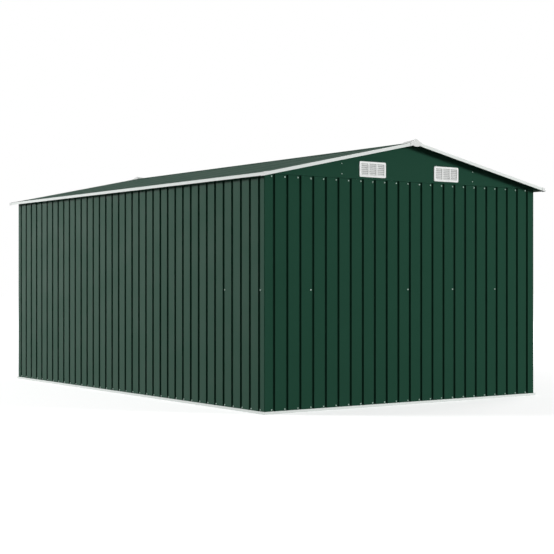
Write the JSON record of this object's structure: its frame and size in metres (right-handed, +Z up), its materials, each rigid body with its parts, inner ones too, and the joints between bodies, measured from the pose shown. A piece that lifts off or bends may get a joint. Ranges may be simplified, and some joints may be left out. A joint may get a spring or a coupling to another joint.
{
  "type": "metal storage shed",
  "caption": "Low gable-roofed storage shed of ribbed painted steel sheets on base rails, with white trim, louvred gable vents and closed sliding doors.",
  "frame": {"origin": "on the ground, at the middle of the shed's plan", "axes": "+Z up, +Y along the ridge from the door gable to the rear gable, +X to the right as seen from the doors"},
  "size_m": [2.5598, 3.9408, 1.8371],
  "materials": {
    "green_sheet": "satin dark green coil-coated steel",
    "white_trim": "satin white coil-coated steel",
    "galvanised_rail": "bright hot-dip zinc",
    "white_plastic": "moulded satin plastic",
    "black_plastic": "moulded grained plastic"
  },
  "bodies": {
    "root": {"right_wall_sheets": "green_sheet", "left_wall_sheets": "green_sheet", "rear_wall_sheets": "green_sheet", "front_wall_right": "green_sheet", "front_wall_left": "green_sheet", "rear_right_corner_sheet": "green_sheet", "rear_left_corner_sheet": "green_sheet", "front_right_corner_sheet": "green_sheet", "front_left_corner_sheet": "green_sheet", "rear_gable_middle": "green_sheet", "rear_gable_right": "green_sheet", "rear_gable_left": "green_sheet", "front_gable_middle": "green_sheet", "front_gable_right": "green_sheet", "front_gable_left": "green_sheet", "right_roof_sheets": "green_sheet", "left_roof_sheets": "green_sheet", "ridge_cap": "green_sheet", "right_door": "green_sheet", "left_door": "green_sheet", "top_rail_right": "galvanised_rail", "top_rail_left": "galvanised_rail", "top_rail_rear": "galvanised_rail", "mid_rail_right": "galvanised_rail", "mid_rail_left": "galvanised_rail", "mid_rail_rear": "galvanised_rail", "ridge_beam": "galvanised_rail", "right_purlin": "galvanised_rail", "left_purlin": "galvanised_rail", "door_track": "galvanised_rail", "base_rail_front": "white_trim", "base_rail_rear": "white_trim", "base_rail_right": "white_trim", "base_rail_left": "white_trim", "right_eave_trim": "white_trim", "left_eave_trim": "white_trim", "rear_right_rake_trim": "white_trim", "rear_left_rake_trim": "white_trim", "front_right_rake_trim": "white_trim", "front_left_rake_trim": "white_trim", "right_jamb": "white_trim", "left_jamb": "white_trim", "rear_peak_cap": "white_plastic", "front_peak_cap": "white_plastic", "roof_corner_caps": "white_plastic", "rear_vents": "white_plastic", "front_vents": "white_plastic", "door_handles": "black_plastic"}
  },
  "joints": []
}
